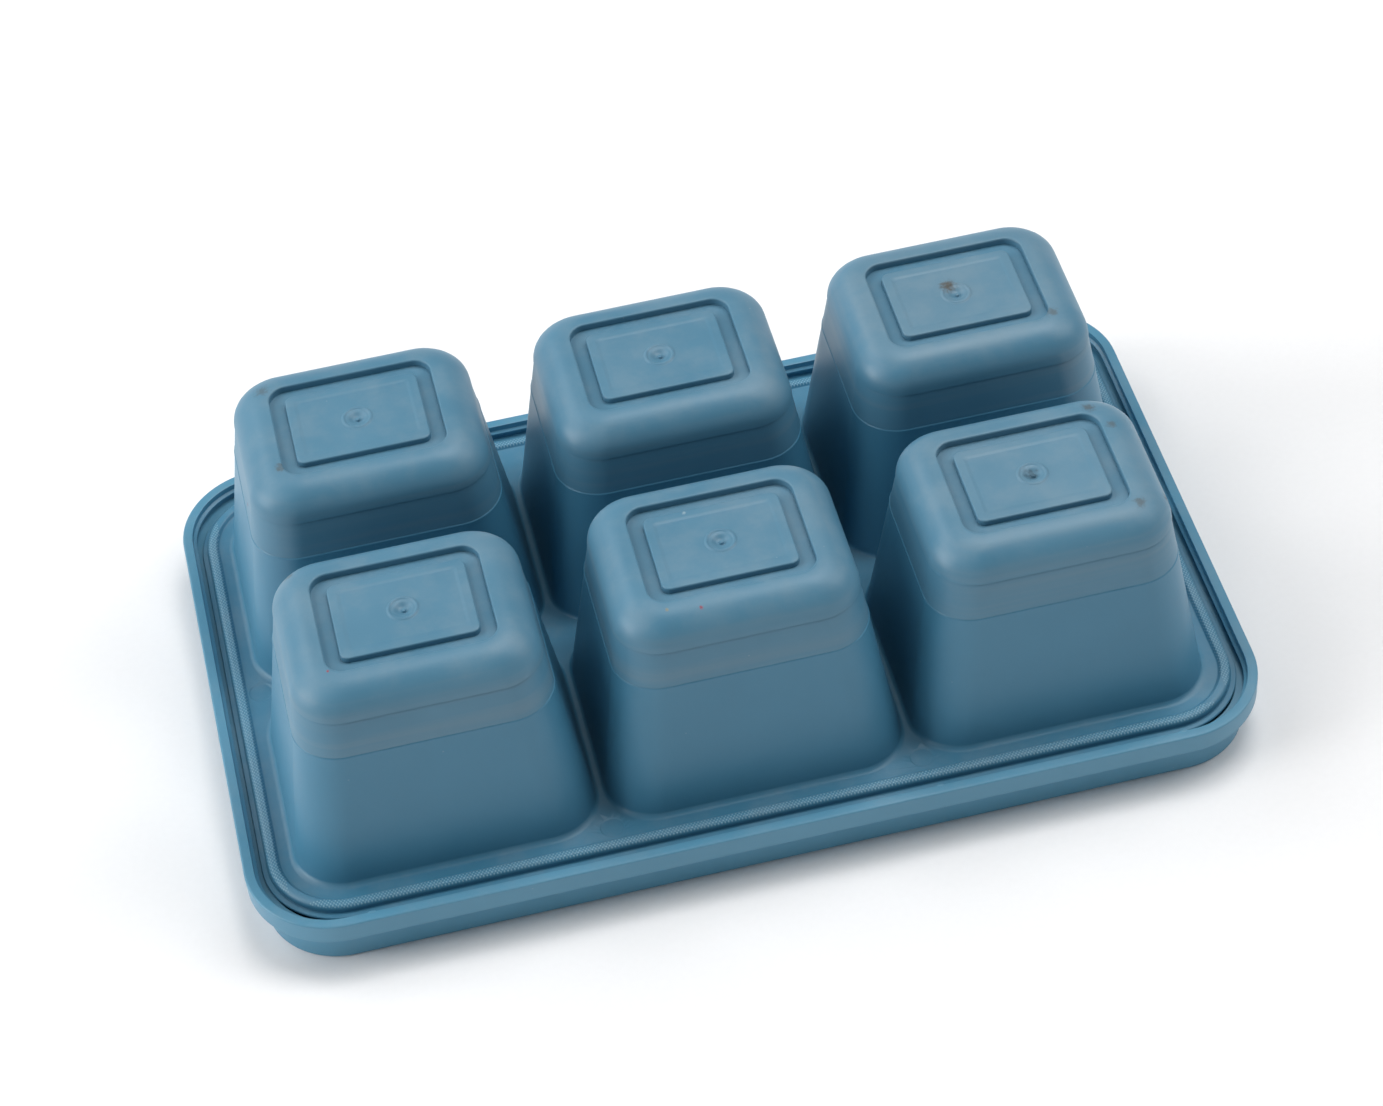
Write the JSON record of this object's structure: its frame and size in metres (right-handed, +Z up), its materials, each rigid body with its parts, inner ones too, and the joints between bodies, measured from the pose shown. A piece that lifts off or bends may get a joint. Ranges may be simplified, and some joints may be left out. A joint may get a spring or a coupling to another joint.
{
  "type": "soap mould",
  "caption": "Cavity tray with soft push-out cup ends, standing upside down in its shallow push-on lid",
  "frame": {"origin": "centre of the lid's underside, on the surface the object stands on", "axes": "+Z up, X along the long side of the tray, Y along the short side with the front at -Y; the cup ends point up"},
  "size_m": [0.17, 0.1056, 0.0478],
  "materials": {
    "rigid_plastic": "satin injection-moulded polypropylene, dusty teal blue",
    "soft_base": "matte over-moulded silicone-like elastomer, same dusty blue, slightly greyer"
  },
  "bodies": {
    "lid": {"lid": "rigid_plastic"},
    "tray": {"tray_frame": "rigid_plastic", "soft_base_front_left": "soft_base", "hinge_web_front_left": "soft_base", "soft_base_front_centre": "soft_base", "hinge_web_front_centre": "soft_base", "soft_base_front_right": "soft_base", "hinge_web_front_right": "soft_base", "soft_base_back_left": "soft_base", "hinge_web_back_left": "soft_base", "soft_base_back_centre": "soft_base", "hinge_web_back_centre": "soft_base", "soft_base_back_right": "soft_base", "hinge_web_back_right": "soft_base"},
    "push_front_left": {"press_pad_front_left": "soft_base"},
    "push_front_centre": {"press_pad_front_centre": "soft_base"},
    "push_front_right": {"press_pad_front_right": "soft_base"},
    "push_back_left": {"press_pad_back_left": "soft_base"},
    "push_back_centre": {"press_pad_back_centre": "soft_base"},
    "push_back_right": {"press_pad_back_right": "soft_base"}
  },
  "joints": [
    {"name": "lift_off_lid", "type": "slide", "parent": "lid", "child": "tray", "axis": [0, 0, 1], "range_m": [0, 0.05]},
    {"name": "press_front_left", "type": "slide", "parent": "tray", "child": "push_front_left", "axis": [0, 0, -1], "range_m": [0, 0.0035], "stiffness_N_per_m": 2500, "deforming": ["hinge_web_front_left"]},
    {"name": "press_front_centre", "type": "slide", "parent": "tray", "child": "push_front_centre", "axis": [0, 0, -1], "range_m": [0, 0.0035], "stiffness_N_per_m": 2500, "deforming": ["hinge_web_front_centre"]},
    {"name": "press_front_right", "type": "slide", "parent": "tray", "child": "push_front_right", "axis": [0, 0, -1], "range_m": [0, 0.0035], "stiffness_N_per_m": 2500, "deforming": ["hinge_web_front_right"]},
    {"name": "press_back_left", "type": "slide", "parent": "tray", "child": "push_back_left", "axis": [0, 0, -1], "range_m": [0, 0.0035], "stiffness_N_per_m": 2500, "deforming": ["hinge_web_back_left"]},
    {"name": "press_back_centre", "type": "slide", "parent": "tray", "child": "push_back_centre", "axis": [0, 0, -1], "range_m": [0, 0.0035], "stiffness_N_per_m": 2500, "deforming": ["hinge_web_back_centre"]},
    {"name": "press_back_right", "type": "slide", "parent": "tray", "child": "push_back_right", "axis": [0, 0, -1], "range_m": [0, 0.0035], "stiffness_N_per_m": 2500, "deforming": ["hinge_web_back_right"]}
  ]
}
